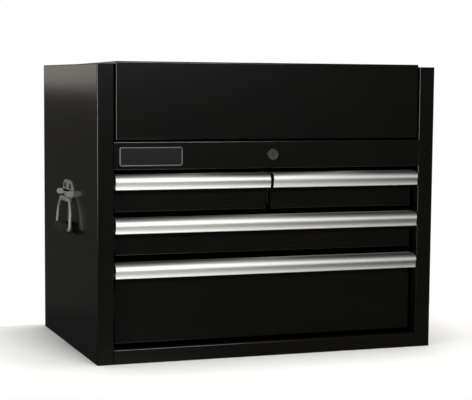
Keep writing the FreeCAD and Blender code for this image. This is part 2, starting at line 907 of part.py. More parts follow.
def strut_tube(base, way):
    start = base + way * tube_start
    shell = pin(start, way, tube_radius, tube_length)
    bore_length = tube_length - tube_end - gland_length
    shell = shell.cut(pin(start + way * tube_end, way, tube_radius - tube_wall, bore_length))
    gland = pin(start + way * (tube_end + bore_length - overrun), way,
                strut_rod_radius + gland_clearance, gland_length + 2 * overrun)
    return shell.cut(gland).fuse(end_tab(base, way, tube_start + tube_end / 2)).removeSplitter()


def strut_rod(top, way):
    rod = pin(top - way * rod_start, -way, strut_rod_radius, rod_length)
    return rod.fuse(end_tab(top, -way, rod_start + tab_half)).removeSplitter()


def strut_pin(centre, out, reach):
    """A pin through the tab, that far outwards, with a square clip on its inner end."""
    inner = tab_half + strut_clip_gap + strut_clip_thickness
    stem = pin(centre - out * inner, out, strut_pin_radius, inner + reach)
    x0, x1 = sorted((centre.x - out.x * inner, centre.x - out.x * (inner - strut_clip_thickness)))
    clip = block(x0, x1, centre.y - strut_clip_half, centre.y + strut_clip_half,
                 centre.z - strut_clip_half, centre.z + strut_clip_half)
    return stem.fuse(clip)


def strut_foot(base, out):
    """An angle on the back panel with the lower pin."""
    plate_x = lid_half - sheet - foot_wall
    path = [(plate_x + foot_width, back_inner), (plate_x, back_inner), (plate_x, base.y - foot_half)]
    angle = folded(path, foot_wall, square(path), at_z(base.z - foot_half)).extrude(UP * 2 * foot_half)
    angle = angle if out.x > 0 else mirrored(angle)
    return angle.fuse(strut_pin(base, out, plate_x + foot_wall / 2 - strut_plane)).removeSplitter()


def lid_stud(top, out):
    """The upper pin, on a square plate on the inner face of the lid's side flange."""
    reach = lid_half - sheet - strut_plane
    x0, x1 = sorted((top.x + out.x * (reach - sheet), top.x + out.x * reach))
    half = strut_pin_plate
    plate = block(x0, x1, top.y - half, top.y + half, top.z - half, top.z + half)
    return plate.fuse(strut_pin(top, out, reach)).removeSplitter()


strut_feet = []
lid_studs = []
for side_name, out in (("right", RIGHT), ("left", -RIGHT)):
    base = round_hinge(strut_base_angle, out)
    top = round_hinge(strut_lid_angle, out)
    way = (top - base).normalize()
    save(side_name + "_strut_tube", strut_tube(base, way))
    save(side_name + "_strut_rod", strut_rod(top, way))
    strut_feet.append(strut_foot(base, out))
    lid_studs.append(lid_stud(top, out))
save("strut_feet", Part.makeCompound(strut_feet))
save("lid_strut_studs", Part.makeCompound(lid_studs))


# Side handles: a bracket with a rolled barrel, a wire bail and a moulded grip
handle_x = half_width + handle_axis_out
handle_lean = asin((grip_radius + grip_rest_gap - handle_axis_out) / arm_length)
hang = V(sin(handle_lean), 0, -cos(handle_lean))


def on_bail(y, reach):
    """A point of the bail's plane: along the barrel, and out along the hanging arms."""
    return V(handle_x, y, handle_height) + hang * reach


def handle_bracket():
    """The right bracket: plate, rolled barrel, two ears and the heads of its rivets."""
    z = handle_height
    points = [(-barrel_half, z - plate_foot), (barrel_half, z - plate_foot), (barrel_half, z + plate_neck),
              (plate_half, z + plate_shoulder), (plate_half, z + plate_top), (-plate_half, z + plate_top),
              (-plate_half, z + plate_shoulder), (-barrel_half, z + plate_neck)]
    radii = [0] * 4 + [plate_corner] * 2 + [0] * 2
    bracket = outline(points, radii, at_x(half_width)).extrude(RIGHT * bracket_sheet)
    barrel = pin(V(handle_x, -barrel_half, z), BACK, wire_radius + wire_clearance + bracket_sheet,
                 2 * barrel_half)
    low = z + plate_shoulder - ear_height / 2
    for y in (-plate_half + ear_inset, plate_half - ear_inset - bracket_sheet):
        bracket = bracket.fuse(block(half_width, half_width + ear_reach, y, y + bracket_sheet,
                                     low, low + ear_height))
    bore = pin(V(handle_x, -barrel_half - overrun, z), BACK, wire_radius + wire_clearance,
               2 * barrel_half + 2 * overrun)
    inside = block(0, half_width, -plate_half, plate_half, 0, case_height)
    bracket = bracket.fuse(barrel).cut(bore).cut(inside)
    for y in (-rivet_spacing / 2, rivet_spacing / 2):
        bracket = bracket.fuse(pin(V(half_width, y, z + rivet_rise), RIGHT, rivet_head_radius,
                                   bracket_sheet + rivet_head_height))
    return bracket.removeSplitter()


def handle_bail():
    """The right bail: one bent wire, sharp at its barrel and cut across at its lower bends."""
    points = [(-wire_split, 0), (-arm_top_half, 0), (-arm_bottom_half, arm_length),
              (arm_bottom_half, arm_length), (arm_top_half, 0), (wire_split, 0)]
    flat = [V(a, b, 0) for a, b in points]
    route = flat[:2]
    for i in (2, 3):
        arc = corner(flat[i - 1], flat[i], flat[i + 1], arm_bottom_bend)
        route += [arc[0], arc[-1]]
    spine = Part.makePolygon([on_bail(p.x, p.y) for p in route + flat[4:]])
    circle = Part.Wire(Part.makeCircle(wire_radius, on_bail(-wire_split, 0), BACK))
    return spine.makePipeShell([circle], True, False, 1)


def handle_grip():
    start = on_bail(-grip_half, arm_length)
    return tube(start, BACK, grip_radius, wire_radius + wire_clearance, 2 * grip_half)


for side_name, turned in (("right", False), ("left", True)):
    for node, shape in (("bail", handle_bail()), ("grip", handle_grip())):
        save(side_name + "_handle_" + node, half_turn(shape) if turned else shape)
right_bracket = handle_bracket()
save("handle_brackets", Part.makeCompound([right_bracket, half_turn(right_bracket)]))


# Blank name plate: a flat field inside a raised rim
def badge_plate():
    z = header_top - badge_drop

    def rounded(inset, radius, y, thickness):
        x0 = -badge_offset - badge_width / 2 + inset
        x1 = -badge_offset + badge_width / 2 - inset
        z0 = z - badge_height / 2 + inset
        z1 = z + badge_height / 2 - inset
        points = [(x0, z0), (x1, z0), (x1, z1), (x0, z1)]
        return outline(points, [radius] * 4, at_y(y)).extrude(BACK * thickness)

    plate = rounded(0, badge_corner, front - badge_base - badge_proud, badge_base + badge_proud)
    field = rounded(badge_rim, 0, front - badge_base - badge_proud - overrun, badge_proud + overrun)
    return plate.cut(field)


save("badge_plate", badge_plate())
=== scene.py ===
from math import asin, cos, pi, radians, sin

import bmesh
import bpy
import numpy as np
from mathutils import Matrix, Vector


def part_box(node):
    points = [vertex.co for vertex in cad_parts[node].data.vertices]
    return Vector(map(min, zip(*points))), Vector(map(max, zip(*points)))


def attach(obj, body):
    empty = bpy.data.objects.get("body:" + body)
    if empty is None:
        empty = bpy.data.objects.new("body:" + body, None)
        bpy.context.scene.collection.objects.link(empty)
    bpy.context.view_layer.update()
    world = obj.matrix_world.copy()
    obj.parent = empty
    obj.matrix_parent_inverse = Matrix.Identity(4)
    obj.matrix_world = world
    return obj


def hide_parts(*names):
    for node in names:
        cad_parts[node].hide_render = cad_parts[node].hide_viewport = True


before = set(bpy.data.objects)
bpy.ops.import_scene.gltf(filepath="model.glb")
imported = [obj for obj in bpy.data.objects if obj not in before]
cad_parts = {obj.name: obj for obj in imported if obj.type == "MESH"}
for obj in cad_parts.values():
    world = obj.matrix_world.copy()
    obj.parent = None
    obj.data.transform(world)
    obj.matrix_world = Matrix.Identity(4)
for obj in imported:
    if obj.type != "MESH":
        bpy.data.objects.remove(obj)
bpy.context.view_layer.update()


# Camera
# The picture's viewpoint: in front of the chest, a little to its left and level with the lid,
# found from the six visible corners of the case, its straight edges and its assumed size.
def posed(x_way, y_way, z_way, place):
    """The matrix that turns an object's axes to three directions and moves it to a place."""
    return Matrix(np.vstack([np.column_stack([x_way, y_way, z_way, place]), [0, 0, 0, 1]]).tolist())


eye = (-0.9546, -2.6704, 0.5115)
yaw, pitch, roll = radians(19.86), radians(-5.72), radians(0.46)
picture_width, focal_pixels, sensor_width = 472, 1416.3, 36.0
frame_shift, nearest, farthest = 0.05, 0.05, 100

level_ahead = np.array([sin(yaw), cos(yaw), 0.0])
level_right = np.array([cos(yaw), -sin(yaw), 0.0])
ahead = level_ahead * cos(pitch) + np.array([0, 0, sin(pitch)])
above = np.array([0, 0, cos(pitch)]) - level_ahead * sin(pitch)
right = level_right * cos(roll) + above * sin(roll)
above = above * cos(roll) - level_right * sin(roll)

scene = bpy.context.scene
camera = bpy.data.objects.new("camera", bpy.data.cameras.new("camera"))
scene.collection.objects.link(camera)
camera.matrix_world = posed(right, above, -ahead, eye)
camera.data.sensor_width = sensor_width
camera.data.lens = focal_pixels * sensor_width / picture_width
camera.data.shift_y = frame_shift
camera.data.clip_start, camera.data.clip_end = nearest, farthest
scene.camera = camera


# Studio
# A table of matt paper before a white backdrop in a dark room. Softboxes stand in front, above,
# behind (two weak, slightly warm ones, which the side panel mirrors), at the left for the handle,
# and low in front for the undersides of the pulls. The chest doesn't mirror the table.
def linear(code):
    """An sRGB hex colour as linear numbers: c / 12.92 up to 0.04045, past that
    ((c + 0.055) / 1.055) ^ 2.4, and 1 for the alpha."""
    shares = [int(code[i:i + 2], 16) / 255 for i in (1, 3, 5)]
    return [c / 12.92 if c <= 0.04045 else ((c + 0.055) / 1.055) ** 2.4 for c in shares] + [1.0]


def add(tree, kind, settings={}, values={}, links={}):
    """Adds one node with its settings, its sockets' values and the outputs that feed them."""
    node = tree.nodes.new(kind)
    for name, value in settings.items():
        setattr(node, name, value)
    for socket, value in values.items():
        node.inputs[socket].default_value = value
    for socket, output in links.items():
        tree.links.new(output, node.inputs[socket])
    return node


def new_material(name):
    """A material with no nodes yet, and its node tree."""
    material = bpy.data.materials.new(name)
    material.use_nodes = True
    material.node_tree.nodes.clear()
    return material, material.node_tree


def mesh_piece(name, points, faces, materials, sharp_degrees=35):
    """An object at the origin from points and faces. Its normals point outwards, and its edges are
    smooth up to the given angle."""
    mesh = bpy.data.meshes.new(name)
    mesh.from_pydata(np.asarray(points).tolist(), [], faces)
    work = bmesh.new()
    work.from_mesh(mesh)
    bmesh.ops.recalc_face_normals(work, faces=work.faces)
    work.to_mesh(mesh)
    work.free()
    mesh.shade_smooth()
    mesh.set_sharp_from_angle(angle=radians(sharp_degrees))
    for material in materials:
        mesh.materials.append(material)
    piece = bpy.data.objects.new(name, mesh)
    scene.collection.objects.link(piece)
    return piece


mm = 0.001                 # every length is in metres
table_left, table_right, table_front, table_back = -1.1, 1.1, -0.42, 0.24
table_drop = 0.3 * mm      # keeps the table's face from fighting with the chest's base
fibre_cloud = 16 * mm      # cloudy patches of pressed fibre

# Paper has no gloss, and its fibre gives it cloudy patches that are barely seen.
paper, tree = new_material("matt_white_studio_paper")
place = add(tree, "ShaderNodeTexCoord")
fibre = add(tree, "ShaderNodeTexNoise", values={"Scale": 1 / fibre_cloud, "Detail": 3.0},
            links={"Vector": place.outputs["Object"]})
tint = add(tree, "ShaderNodeMix", {"data_type": "RGBA"},
           {"A": linear("#f3f2ef"), "B": linear("#f7f6f4")}, {"Factor": fibre.outputs["Fac"]})
skin = add(tree, "ShaderNodeBsdfPrincipled", values={"Roughness": 0.9, "Specular IOR Level": 0.1},
           links={"Base Color": tint.outputs["Result"]})
add(tree, "ShaderNodeOutputMaterial", links={"Surface": skin.outputs["BSDF"]})

table_edge = [(table_left, table_front, -table_drop), (table_right, table_front, -table_drop),
              (table_right, table_back, -table_drop), (table_left, table_back, -table_drop)]
floor = mesh_piece("floor", table_edge, [(0, 1, 2, 3)], [paper])
floor.visible_glossy = False


def softbox(name, place, target, width, height, watts, colour="#ffffff"):
    """A rectangular area light that faces its target."""
    light = bpy.data.lights.new(name, "AREA")
    light.shape, light.size, light.size_y = "RECTANGLE", width, height
    light.energy, light.color = watts, linear(colour)[:3]
    lamp = bpy.data.objects.new(name, light)
    scene.collection.objects.link(lamp)
    away = np.array(place) - np.array(target)
    away = away / np.linalg.norm(away)
    side = np.cross([0, 0, 1], away)
    side = side / np.linalg.norm(side)
    lamp.matrix_world = posed(side, np.cross(away, side), away, place)
    lamp.visible_camera = False
    return lamp


warm_white = "#fff8ec"
softbox("key_softbox", place=(0.18, -2.9, 1.4), target=(0, 0, 0.4),
        width=1.6, height=0.78, watts=57)
top_softbox = softbox("top_softbox", place=(0.1, 0.1, 2.3), target=(0, 0, 0.3),
                      width=1.8, height=1.6, watts=70)
top_softbox.visible_glossy = False
softbox("back_softbox", place=(-1.6, 2.6, 1.17), target=(0, 0, 0.5),
        width=2.0, height=1.4, watts=5.5, colour=warm_white)
softbox("low_back_softbox", place=(-1.6, 2.5, 0.15), target=(-0.3, 0, 0.3),
        width=2.4, height=1.1, watts=0.19, colour=warm_white)
softbox("left_softbox", place=(-2.3, -1.5, 0.55), target=(-0.35, 0, 0.3),
        width=0.8, height=1.0, watts=32)
softbox("low_softbox", place=(-0.15, -1.15, -0.45), target=(-0.15, -0.2, 0.25),
        width=0.7, height=0.4, watts=1.3)

backdrop_strength, room_strength = 1.0, 0.028
world = bpy.data.worlds.new("studio")
world.use_nodes = True
tree = world.node_tree
tree.nodes.clear()
seen = add(tree, "ShaderNodeLightPath")
backdrop = add(tree, "ShaderNodeBackground",
               values={"Color": linear("#ffffff"), "Strength": backdrop_strength})
room = add(tree, "ShaderNodeBackground",
           values={"Color": linear("#ffffff"), "Strength": room_strength})
both = add(tree, "ShaderNodeMixShader", links={"Fac": seen.outputs["Is Camera Ray"],
                                               1: room.outputs[0], 2: backdrop.outputs[0]})
add(tree, "ShaderNodeOutputWorld", links={"Surface": both.outputs[0]})
scene.world = world
scene.view_settings.view_transform = "Standard"

# Case panels, rails and drawer metal
# Cold-rolled steel sheet, folded and spot-welded, with a satin black polyester powder coat baked
# on. The coat flows into a fine orange peel, which breaks up reflections and hides every weld.
powder_smooth, powder_dull = 0.13, 0.21     # roughness in the hollows and on the crests
peel_cell = 3.0 * mm       # the real cells are about 1 mm, drawn three times as coarse to show
peel_height = 0.03 * mm
cloud_size = 90 * mm       # slight changes in the thickness of the coat

powder_coat, tree = new_material("satin_black_powder_coat_on_steel")
place = add(tree, "ShaderNodeTexCoord")
peel = add(tree, "ShaderNodeTexNoise",
           values={"Scale": 1 / peel_cell, "Detail": 2.0, "Roughness": 0.6},
           links={"Vector": place.outputs["Object"]})
cloud = add(tree, "ShaderNodeTexNoise", values={"Scale": 1 / cloud_size, "Detail": 2.0},
            links={"Vector": place.outputs["Object"]})
tint = add(tree, "ShaderNodeMix", {"data_type": "RGBA"},
           {"A": linear("#0a0908"), "B": linear("#0e0d0b")}, {"Factor": cloud.outputs["Fac"]})
sheen = add(tree, "ShaderNodeMapRange", values={"To Min": powder_smooth, "To Max": powder_dull},
            links={"Value": peel.outputs["Fac"]})
relief = add(tree, "ShaderNodeBump", values={"Strength": 0.6, "Distance": peel_height},
             links={"Height": peel.outputs["Fac"]})
skin = add(tree, "ShaderNodeBsdfPrincipled", values={"IOR": 1.5},
           links={"Base Color": tint.outputs["Result"], "Roughness": sheen.outputs["Result"],
                  "Normal": relief.outputs["Normal"]})
add(tree, "ShaderNodeOutputMaterial", links={"Surface": skin.outputs["BSDF"]})


def finish_nodes(material, names):
    """Gives these CAD nodes their material."""
    for name in names:
        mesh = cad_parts[name].data
        mesh.materials.clear()
        mesh.materials.append(material)


drawers = ["upper_left_drawer", "upper_right_drawer", "middle_drawer", "lower_drawer"]
finish_nodes(powder_coat, ["left_side_panel", "right_side_panel", "back_panel", "bottom_panel",
                           "header_rail", "bottom_rail", "till_floor", "drawer_divider",
                           "slide_posts", "lid_shell", "lid_stiffener"])
finish_nodes(powder_coat, [drawer + part for drawer in drawers for part in ("_front", "_box")])

# Plated ironmongery
# Hinge, strut fittings, lock clip, rocker and lock bar are pressed or turned from mild steel and
# zinc plated. The plating shines brightly, and the bath leaves it slightly clouded.
zinc_smooth, zinc_dull = 0.28, 0.42         # roughness where clear and where clouded
bath_cloud = 9 * mm

zinc_plate, tree = new_material("bright_zinc_plated_mild_steel")
place = add(tree, "ShaderNodeTexCoord")
cloud = add(tree, "ShaderNodeTexNoise", values={"Scale": 1 / bath_cloud, "Detail": 3.0},
            links={"Vector": place.outputs["Object"]})
tint = add(tree, "ShaderNodeMix", {"data_type": "RGBA"},
           {"A": linear("#a9adb2"), "B": linear("#c3c5c6")}, {"Factor": cloud.outputs["Fac"]})
sheen = add(tree, "ShaderNodeMapRange", values={"To Min": zinc_smooth, "To Max": zinc_dull},
            links={"Value": cloud.outputs["Fac"]})
skin = add(tree, "ShaderNodeBsdfPrincipled", values={"Metallic": 1.0},
           links={"Base Color": tint.outputs["Result"], "Roughness": sheen.outputs["Result"]})
add(tree, "ShaderNodeOutputMaterial", links={"Surface": skin.outputs["BSDF"]})
finish_nodes(zinc_plate, ["hinge_lower_leaf", "hinge_upper_leaf", "hinge_pin", "lock_clip",
                          "lock_bar", "lock_rocker", "lock_bar_guides", "strut_feet",
                          "lid_strut_studs"])

# Telescopic slides
# Three members at each side of a drawer, roll-formed from bright cold-rolled strip. The rolls
# leave fine lines along the length, which spread each highlight across it.
slide_smooth, slide_dull = 0.24, 0.38       # roughness between and along the lines
roll_line, roll_run = 1.2 * mm, 60 * mm     # real lines are 0.2 mm apart, drawn coarser to show

slide_steel, tree = new_material("roll_formed_bright_steel_strip")
place = add(tree, "ShaderNodeTexCoord")
along = add(tree, "ShaderNodeMapping", values={"Scale": (1.0, roll_line / roll_run, 1.0)},
            links={"Vector": place.outputs["Object"]})
lines = add(tree, "ShaderNodeTexNoise", values={"Scale": 1 / roll_line, "Detail": 2.0},
            links={"Vector": along.outputs["Vector"]})
tint = add(tree, "ShaderNodeMix", {"data_type": "RGBA"},
           {"A": linear("#9a9ea3"), "B": linear("#b4b7ba")}, {"Factor": lines.outputs["Fac"]})
sheen = add(tree, "ShaderNodeMapRange", values={"To Min": slide_smooth, "To Max": slide_dull},
            links={"Value": lines.outputs["Fac"]})
skin = add(tree, "ShaderNodeBsdfPrincipled", values={"Metallic": 1.0},
           links={"Base Color": tint.outputs["Result"], "Roughness": sheen.outputs["Result"]})
add(tree, "ShaderNodeOutputMaterial", links={"Surface": skin.outputs["BSDF"]})
finish_nodes(slide_steel, ["outer_slides"] + [drawer + part for drawer in drawers
                                             for part in ("_inner_slides", "_middle_slides")])


# Drawer pulls
# One aluminium extrusion, cut to the length of each drawer and satin anodised. Its bellied face
# draws in to a cove and flares out again to a lip; the cap hooks over the drawer front.
def rounded_line(corners, radii, steps=9, closed=True):
    """Points along straight runs whose corners are rounded.
    At a corner p, with unit directions a and b to its neighbours, unit bisector m and half angle h,
    the arc of radius r has its centre at p + m r / sin h. It sweeps from the direction
    a / tan h - m / sin h to b / tan h - m / sin h. An open line's end has one neighbour: the other
    is taken straight on past the end, a hair to the side, and a radius of 0 keeps the end there."""
    hair, same_point = 1e-6, 1e-7
    p = np.array(corners, float)
    r = np.array(radii, float)[:, None]
    a = np.roll(p, 1, 0) - p
    b = np.roll(p, -1, 0) - p
    if not closed:
        a[0], b[-1] = -b[0], -a[-1]
        a[0] = a[0] + np.roll(b[0], 1) * hair
        b[-1] = b[-1] + np.roll(a[-1], 1) * hair
    a = a / np.linalg.norm(a, axis=1)[:, None]
    b = b / np.linalg.norm(b, axis=1)[:, None]
    h = np.arccos(np.clip((a * b).sum(1), -1, 1))[:, None] / 2
    m = (a + b) / np.linalg.norm(a + b, axis=1)[:, None]
    start, end = a / np.tan(h) - m / np.sin(h), b / np.tan(h) - m / np.sin(h)
    sweep = np.arccos(np.clip((start * end).sum(1), -1, 1))[:, None, None]
    t = np.linspace(0, 1, steps)[None, :, None]
    turn = np.sin((1 - t) * sweep) * start[:, None] + np.sin(t * sweep) * end[:, None]
    turn = turn / np.sin(sweep)
    line = ((p + m * r / np.sin(h))[:, None] + r[:, None] * turn).reshape(-1, p.shape[1])
    new = np.linalg.norm(np.diff(line, axis=0), axis=1) > same_point
    return line[np.concatenate([[True], new])]


def ringed(name, rings, materials, closed=False, sharp_degrees=35):
    """Skins a grid of points: rings of equal count, each joined to the next by quads.
    An open row of rings gets a flat cap at each end; a closed one joins its last ring to its
    first."""
    count, around = rings.shape[:2]
    index = np.arange(count * around).reshape(count, around)
    here = index if closed else index[:-1]
    there = np.roll(index, -1, 0) if closed else index[1:]
    quads = np.stack([here, there, np.roll(there, -1, 1), np.roll(here, -1, 1)], -1)
    caps = [] if closed else [index[0].tolist(), index[-1][::-1].tolist()]
    faces = quads.reshape(-1, 4).tolist() + caps
    return mesh_piece(name, rings.reshape(-1, 3), faces, materials, sharp_degrees)


def carried(profile, stations, inset):
    """The profile's (y, z) points at each x, the first and last drawn in along its normals by the
    inset."""
    tangent = np.roll(profile, -1, 0) - np.roll(profile, 1, 0)
    normal = np.stack([-tangent[:, 1], tangent[:, 0]], 1) / np.linalg.norm(tangent, axis=1)[:, None]
    small = profile + normal * inset
    rows = [small] + [profile] * (len(stations) - 2) + [small]
    return np.stack([np.column_stack([np.full(len(row), x), row])
                     for x, row in zip(stations, rows)])


pull_height, pull_brow, pull_wall = 27.0 * mm, 24.2 * mm, 2.0 * mm
pull_round, pull_flange, pull_cap = 12.0 * mm, 24.0 * mm, 10.0 * mm
belly_drop, belly_round, belly_inner_round = 13.5 * mm, 8.5 * mm, 4.0 * mm
cove_out, cove_drop, cove_round = 22.0 * mm, 20.5 * mm, 20.0 * mm
lip_out, lip_wall, lip_round = 22.8 * mm, 3.4 * mm, 1.0 * mm
front_sheet, edge_break, saw_chamfer = 1.0 * mm, 0.25 * mm, 0.3 * mm
pull_smooth, pull_dull = 0.49, 0.53         # roughness between and along the die lines
die_line, die_run = 1.6 * mm, 160 * mm      # real lines are 0.1 mm apart, drawn coarser to show
die_depth = 0.001 * mm

# The etch before anodising gives a soft, even sheen, with faint die lines along the pull.
anodised, tree = new_material("satin_anodised_aluminium_extrusion")
place = add(tree, "ShaderNodeTexCoord")
along = add(tree, "ShaderNodeMapping", values={"Scale": (die_line / die_run, 1.0, 1.0)},
            links={"Vector": place.outputs["Object"]})
lines = add(tree, "ShaderNodeTexNoise", values={"Scale": 1 / die_line, "Detail": 3.0},
            links={"Vector": along.outputs["Vector"]})
tint = add(tree, "ShaderNodeMix", {"data_type": "RGBA"},
           {"A": linear("#e0dfda"), "B": linear("#e5e4df")}, {"Factor": lines.outputs["Fac"]})
sheen = add(tree, "ShaderNodeMapRange", values={"To Min": pull_smooth, "To Max": pull_dull},
            links={"Value": lines.outputs["Fac"]})
relief = add(tree, "ShaderNodeBump", values={"Strength": 0.05, "Distance": die_depth},
             links={"Height": lines.outputs["Fac"]})
skin = add(tree, "ShaderNodeBsdfPrincipled",
           values={"Metallic": 1.0, "Anisotropic": 0.5, "Anisotropic Rotation": 0.25},
           links={"Base Color": tint.outputs["Result"], "Roughness": sheen.outputs["Result"],
                  "Normal": relief.outputs["Normal"]})
add(tree, "ShaderNodeOutputMaterial", links={"Surface": skin.outputs["BSDF"]})

for drawer in drawers:
    low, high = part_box(drawer + "_pull")
    top = high[2]
    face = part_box(drawer + "_box")[0][1] - front_sheet
    brow, lip = face - pull_brow, face - lip_out
    # The outline in y and z: cap, brow, belly, cove and lip outside, then back inside to the hook.
    corners = [(face + pull_cap, top), (brow, top), (brow, top - belly_drop),
               (face - cove_out, top - cove_drop), (lip, top - pull_height),
               (lip + lip_wall, top - pull_height), (brow + pull_wall, top - belly_drop),
               (brow + pull_wall, top - pull_wall), (face - pull_wall, top - pull_wall),
               (face - pull_wall, top - pull_flange), (face, top - pull_flange),
               (face, top - pull_wall), (face + pull_cap, top - pull_wall)]
    radii = [edge_break, pull_round, belly_round, cove_round, lip_round, edge_break,
             belly_inner_round, pull_round - pull_wall] + [edge_break] * 5
    profile = rounded_line(corners, radii)
    stations = [low[0], low[0] + saw_chamfer, high[0] - saw_chamfer, high[0]]
    pull = ringed(drawer + "_extruded_pull", carried(profile, stations, saw_chamfer), [anodised])
    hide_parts(drawer + "_pull")
    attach(pull, drawer)

# Drawer and till liners
# Sheets of black nitrile rubber, ribbed in the mould and laid loose on each floor so that tools
# don't slide. The rubber is dull, and talc dulls it further in small grey patches.
rib_pitch, liner_base, liner_rib = 6.0 * mm, 1.2 * mm, 0.8 * mm
rib_points, rib_sharp = 8, 60               # points across each rib, degrees at its edges
dust_patch = 2.5 * mm

rubber, tree = new_material("ribbed_black_nitrile_rubber")
place = add(tree, "ShaderNodeTexCoord")
dust = add(tree, "ShaderNodeTexNoise", values={"Scale": 1 / dust_patch, "Detail": 2.0},
           links={"Vector": place.outputs["Object"]})
tint = add(tree, "ShaderNodeMix", {"data_type": "RGBA"},
           {"A": linear("#171718"), "B": linear("#202122")}, {"Factor": dust.outputs["Fac"]})
skin = add(tree, "ShaderNodeBsdfPrincipled", values={"Roughness": 0.72, "IOR": 1.52},
           links={"Base Color": tint.outputs["Result"]})
add(tree, "ShaderNodeOutputMaterial", links={"Surface": skin.outputs["BSDF"]})

for node, body in [("till_mat", "case")] + [(drawer + "_mat", drawer) for drawer in drawers]:
    low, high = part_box(node)
    count = int((high[0] - low[0]) / rib_pitch * rib_points)
    x = np.linspace(low[0], high[0], count)
    # A rib's height is the root of a raised cosine of x: a round back and narrow grooves.
    wave = 0.5 - 0.5 * np.cos((x - low[0]) / rib_pitch * 2 * pi)
    top = np.column_stack([x, low[2] + liner_base + liner_rib * wave ** 0.5])
    section = np.concatenate([top, [[high[0], low[2]], [low[0], low[2]]]])
    rings = np.stack([np.column_stack([section[:, 0], np.full(len(section), y), section[:, 1]])
                      for y in (low[1], high[1])])
    liner = ringed(node + "_ribbed", rings, [rubber], sharp_degrees=rib_sharp)
    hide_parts(node)
    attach(liner, body)

# Gas struts
# A drawn steel tube, black nitrocarburised and lacquered, with a ground and hard-chromed rod.
# The tube is a deep black with a soft gloss, and the rod mirrors whatever is round it.
lacquer_smooth, lacquer_dull = 0.2, 0.3     # roughness on and between the swells
chrome_smooth, chrome_dull = 0.08, 0.16     # roughness of clean and wiped chrome
lacquer_haze = 8 * mm      # soft swells in the lacquer
wipe_mark = 4 * mm         # faint marks of the polishing cloth

tube_black, tree = new_material("black_nitrocarburised_steel_tube")
place = add(tree, "ShaderNodeTexCoord")
haze = add(tree, "ShaderNodeTexNoise", values={"Scale": 1 / lacquer_haze, "Detail": 2.0},
           links={"Vector": place.outputs["Object"]})
sheen = add(tree, "ShaderNodeMapRange", values={"To Min": lacquer_smooth, "To Max": lacquer_dull},
            links={"Value": haze.outputs["Fac"]})
skin = add(tree, "ShaderNodeBsdfPrincipled", values={"Base Color": linear("#0b0b0c"), "IOR": 1.5},
           links={"Roughness": sheen.outputs["Result"]})
add(tree, "ShaderNodeOutputMaterial", links={"Surface": skin.outputs["BSDF"]})
finish_nodes(tube_black, ["left_strut_tube", "right_strut_tube"])

chrome, tree = new_material("polished_chromium_plate")
place = add(tree, "ShaderNodeTexCoord")
wipe = add(tree, "ShaderNodeTexNoise", values={"Scale": 1 / wipe_mark, "Detail": 2.0},
           links={"Vector": place.outputs["Object"]})
sheen = add(tree, "ShaderNodeMapRange", values={"To Min": chrome_smooth, "To Max": chrome_dull},
            links={"Value": wipe.outputs["Fac"]})
skin = add(tree, "ShaderNodeBsdfPrincipled",
           values={"Base Color": linear("#d9dbde"), "Metallic": 1.0},
           links={"Roughness": sheen.outputs["Result"]})
add(tree, "ShaderNodeOutputMaterial", links={"Surface": skin.outputs["BSDF"]})
finish_nodes(chrome, ["left_strut_rod", "right_strut_rod"])


# Cam lock
# A die-cast zinc housing with a dull nickel plate: a round bezel, dished on its face, before a
# square body that fills the header's hole and takes the fixing clip. The slotted plug turns in it.
def lathed(profile, centre, axis, around=64, squared=0):
    """A grid of points: each (distance d along the axis, radius r) of a profile, turned a full
    circle. Each point lands at centre + axis * d + r (u cos v + w sin v), with u and w square to
    the axis. Where squared is 1, r is divided by the larger of |cos v| and |sin v|, which turns the
    circle into the square round it."""
    axis = np.array(axis, float)
    u = np.cross(axis, [0, 0, 1.0])
    w = np.cross(axis, u)
    v = np.linspace(0, 2 * pi, around, endpoint=False)[:, None, None]
    share = np.maximum(abs(np.cos(v)), abs(np.sin(v))) ** np.reshape(squared, (1, -1, 1))
    circle = u * np.cos(v) + w * np.sin(v)
    return np.array(centre) + axis * profile[None, :, :1] + profile[None, :, 1:] / share * circle


lock_smooth, lock_dull = 0.4, 0.5           # roughness of the plate's crests and pits
cast_cell = 1.4 * mm       # mottling of the cast skin under the plate

# The base colour is painted dark and warm in place of the dark room that the plated lock mirrors,
# and the casting's skin mottles it.
lock_plate, tree = new_material("dull_nickel_plate_painted_dark_for_mirrored_room")
place = add(tree, "ShaderNodeTexCoord")
cast = add(tree, "ShaderNodeTexNoise", values={"Scale": 1 / cast_cell, "Detail": 2.0},
           links={"Vector": place.outputs["Object"]})
# Both colours are painted reflection of the dark room; the noise between them is the cast skin's
# mottle.
tint = add(tree, "ShaderNodeMix", {"data_type": "RGBA"},
           {"A": linear("#32312a"), "B": linear("#615f56")}, {"Factor": cast.outputs["Fac"]})
sheen = add(tree, "ShaderNodeMapRange", values={"To Min": lock_smooth, "To Max": lock_dull},
            links={"Value": cast.outputs["Fac"]})
skin = add(tree, "ShaderNodeBsdfPrincipled", values={"Metallic": 1.0},
           links={"Base Color": tint.outputs["Result"], "Roughness": sheen.outputs["Result"]})
add(tree, "ShaderNodeOutputMaterial", links={"Surface": skin.outputs["BSDF"]})
finish_nodes(lock_plate, ["lock_plug"])

low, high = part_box("lock_housing")
lock_centre = (0.0, 0.0, (low[2] + high[2]) / 2)
bezel_radius, face_radius, rim_round = 12.0 * mm, 10.6 * mm, 1.0 * mm
dish_radius, dish_slope, dish_depth, dish_round = 8.6 * mm, 0.8 * mm, 0.5 * mm, 0.4 * mm
bore_radius, body_half, clip_bite = 6.58 * mm, 8.2 * mm, 0.6 * mm
panel_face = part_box("header_rail")[0][1]
clip_front, clip_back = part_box("lock_clip")[0][1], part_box("lock_clip")[1][1]
